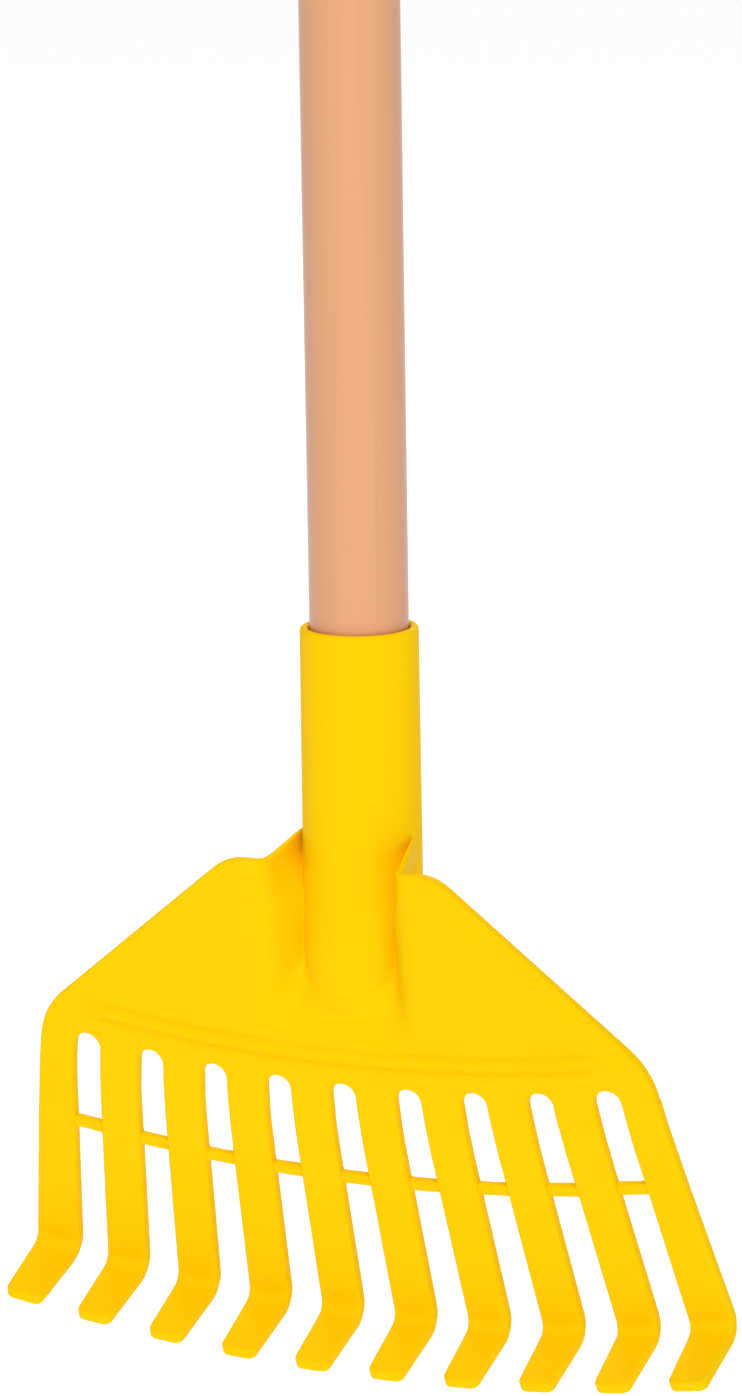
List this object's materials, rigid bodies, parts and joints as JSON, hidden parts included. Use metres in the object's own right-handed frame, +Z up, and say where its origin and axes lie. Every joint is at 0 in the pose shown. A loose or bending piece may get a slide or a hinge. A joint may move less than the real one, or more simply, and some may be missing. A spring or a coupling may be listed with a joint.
{
  "type": "kids rake",
  "caption": "Small garden leaf rake for a child: a moulded plastic fan head with flat hooked tines, a plate and a socket, on a round wooden handle.",
  "frame": {"origin": "centre of the flat top end of the handle", "axes": "+Z runs up along the handle and out of its top end, +X runs across the tines, and the front, the way the tines hook, faces -Y"},
  "size_m": [0.191, 0.0396, 0.6998],
  "materials": {
    "yellow_plastic": "satin moulded polypropylene, bright yellow",
    "varnished_wood": "smooth turned dowel with clear satin varnish",
    "zinc_steel": "bright zinc plate"
  },
  "bodies": {
    "root": {"rake_head": "yellow_plastic", "handle": "varnished_wood", "retaining_screw": "zinc_steel"}
  },
  "joints": []
}
